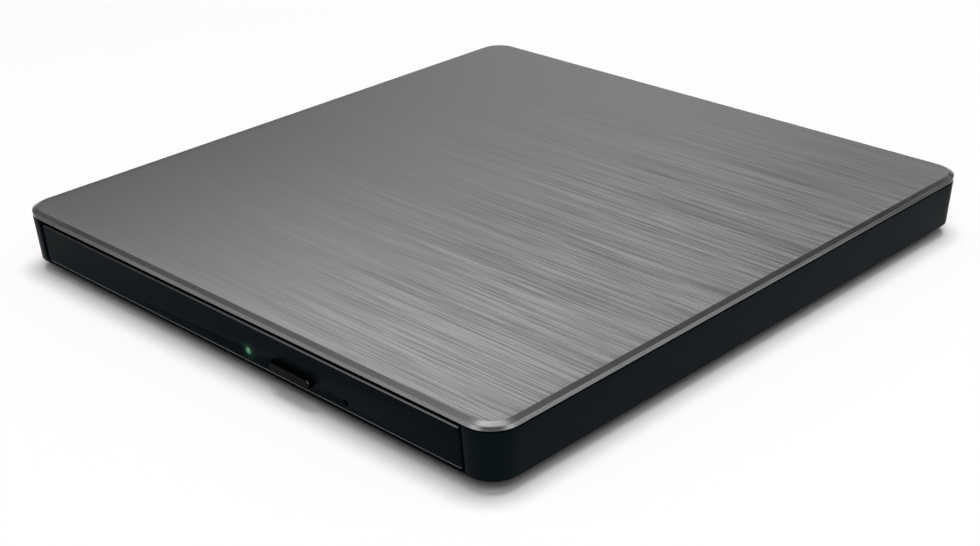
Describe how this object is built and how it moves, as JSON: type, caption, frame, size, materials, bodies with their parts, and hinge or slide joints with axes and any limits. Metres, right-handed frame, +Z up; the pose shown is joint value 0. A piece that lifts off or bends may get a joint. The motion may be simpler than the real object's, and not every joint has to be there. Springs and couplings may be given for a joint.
{
  "type": "external optical disc drive",
  "caption": "Low square case with a brushed bevelled top; a drawer tray behind its front panel carries a disc turntable and a laser pickup.",
  "frame": {"origin": "centre of the plan, on the plane that the feet stand on", "axes": "+X to the right as seen from the front, +Y to the back, +Z up; the tray opens along -Y"},
  "size_m": [0.1376, 0.1446, 0.014],
  "materials": {
    "brushed_top": "brushed, hairlines parallel to the front edge",
    "case_black": "satin black",
    "bezel_black": "satin black",
    "tray_black": "fine matt texture",
    "foot_rubber": "matt",
    "screw_steel": "zinc plated",
    "sheet_steel": "plain pressed sheet",
    "white_plastic": "natural white, low friction",
    "board_green": "solder mask",
    "chip_black": "moulded",
    "can_metal": "plain can",
    "socket_steel": "nickel plated",
    "ribbon_film": "polyester film",
    "light_green": "clear green",
    "cast_metal": "die cast",
    "rod_steel": "ground and polished",
    "hub_grey": "moulded grey",
    "lens_glass": "coated",
    "coil_copper": "enamelled winding in a yoke"
  },
  "bodies": {
    "case": {"top_plate": "brushed_top", "cover_frame": "case_black", "bottom_case": "case_black", "rubber_feet": "foot_rubber", "case_screws": "screw_steel", "drive_chassis": "sheet_steel", "chassis_cover": "sheet_steel", "cover_screws": "screw_steel", "rail_guide_left": "white_plastic", "rail_guide_right": "white_plastic", "latch_post": "rod_steel", "main_board": "board_green", "controller_chips": "chip_black", "board_capacitors": "can_metal", "usb_socket_shell": "socket_steel", "usb_socket_tongue": "chip_black", "ribbon_connector": "white_plastic", "ribbon_cable": "ribbon_film"},
    "left_rail": {"rail_left": "sheet_steel"},
    "right_rail": {"rail_right": "sheet_steel"},
    "tray": {"disc_tray": "tray_black", "front_bezel": "bezel_black", "led_light_pipe": "light_green", "front_board": "board_green", "eject_switch": "can_metal", "led_chip": "light_green", "bottom_shield": "sheet_steel", "shield_screws": "screw_steel", "traverse_frame": "sheet_steel", "traverse_dampers": "foot_rubber", "traverse_screws": "screw_steel", "traverse_cover": "sheet_steel", "spindle_motor": "cast_metal", "guide_rod_main": "rod_steel", "guide_rod_sub": "rod_steel", "sled_motor": "can_metal", "solenoid": "coil_copper", "eject_pusher": "white_plastic", "eject_spring": "rod_steel", "tray_board": "board_green", "tray_connector": "white_plastic"},
    "button": {"eject_button": "bezel_black"},
    "spindle": {"turntable": "hub_grey", "turntable_pad": "foot_rubber"},
    "claw_back": {"chuck_claw_1": "hub_grey"},
    "claw_left": {"chuck_claw_2": "hub_grey"},
    "claw_right": {"chuck_claw_3": "hub_grey"},
    "pickup": {"pickup_body": "cast_metal", "pickup_cover": "chip_black", "rack_nut": "white_plastic"},
    "lens": {"lens_holder": "chip_black", "objective_lens": "lens_glass"},
    "sled_screw": {"lead_screw": "rod_steel"},
    "latch": {"latch_lever": "white_plastic"},
    "plunger": {"solenoid_plunger": "rod_steel"},
    "release_slider": {"emergency_slider": "white_plastic"}
  },
  "joints": [
    {"name": "tray_slide", "type": "slide", "parent": "case", "child": "tray", "axis": [0, -1, 0], "range_m": [0, 0.125], "deforming": ["ribbon_cable"]},
    {"name": "left_rail_slide", "type": "slide", "parent": "case", "child": "left_rail", "axis": [0, -1, 0], "range_m": [0, 0.0625]},
    {"name": "right_rail_slide", "type": "slide", "parent": "case", "child": "right_rail", "axis": [0, -1, 0], "range_m": [0, 0.0625]},
    {"name": "eject_button_press", "type": "slide", "parent": "tray", "child": "button", "axis": [0, 1, 0], "range_m": [0, 0.0006], "stiffness_N_per_m": 600},
    {"name": "turntable_spin", "type": "hinge", "parent": "tray", "child": "spindle", "pos_m": [0, -0.007, 0.0081], "axis": [0, 0, 1], "continuous": true},
    {"name": "claw_back_press", "type": "slide", "parent": "spindle", "child": "claw_back", "axis": [0, -1, 0], "range_m": [0, 0.0005], "stiffness_N_per_m": 200},
    {"name": "claw_left_press", "type": "slide", "parent": "spindle", "child": "claw_left", "axis": [0.866, 0.5, 0], "range_m": [0, 0.0005], "stiffness_N_per_m": 200},
    {"name": "claw_right_press", "type": "slide", "parent": "spindle", "child": "claw_right", "axis": [-0.866, 0.5, 0], "range_m": [0, 0.0005], "stiffness_N_per_m": 200},
    {"name": "pickup_slide", "type": "slide", "parent": "tray", "child": "pickup", "axis": [-0.7071, -0.7071, 0], "range_m": [-0.0055, 0.0285]},
    {"name": "lead_screw_spin", "type": "hinge", "parent": "tray", "child": "sled_screw", "pos_m": [-0.0396, -0.02397, 0.006], "axis": [-0.7071, -0.7071, 0], "range_deg": [-680, 3440]},
    {"name": "lens_focus", "type": "slide", "parent": "pickup", "child": "lens", "axis": [0, 0, 1], "range_m": [-0.0003, 0.0003], "stiffness_N_per_m": 60},
    {"name": "latch_swing", "type": "hinge", "parent": "tray", "child": "latch", "pos_m": [0.0395, -0.0485, 0.00485], "axis": [0, 0, 1], "range_deg": [0, 18]},
    {"name": "plunger_slide", "type": "slide", "parent": "tray", "child": "plunger", "axis": [0, -1, 0], "range_m": [0, 0.00188]},
    {"name": "emergency_slide", "type": "slide", "parent": "tray", "child": "release_slider", "axis": [0, 1, 0], "range_m": [0, 0.0022]}
  ],
  "couplings": [
    {"joint": "left_rail_slide", "follows": "tray_slide", "ratio": 0.5},
    {"joint": "right_rail_slide", "follows": "tray_slide", "ratio": 0.5},
    {"joint": "lead_screw_spin", "follows": "pickup_slide", "rad_per_m": 2094.4},
    {"joint": "latch_swing", "follows": "plunger_slide", "rad_per_m": 166.67}
  ]
}
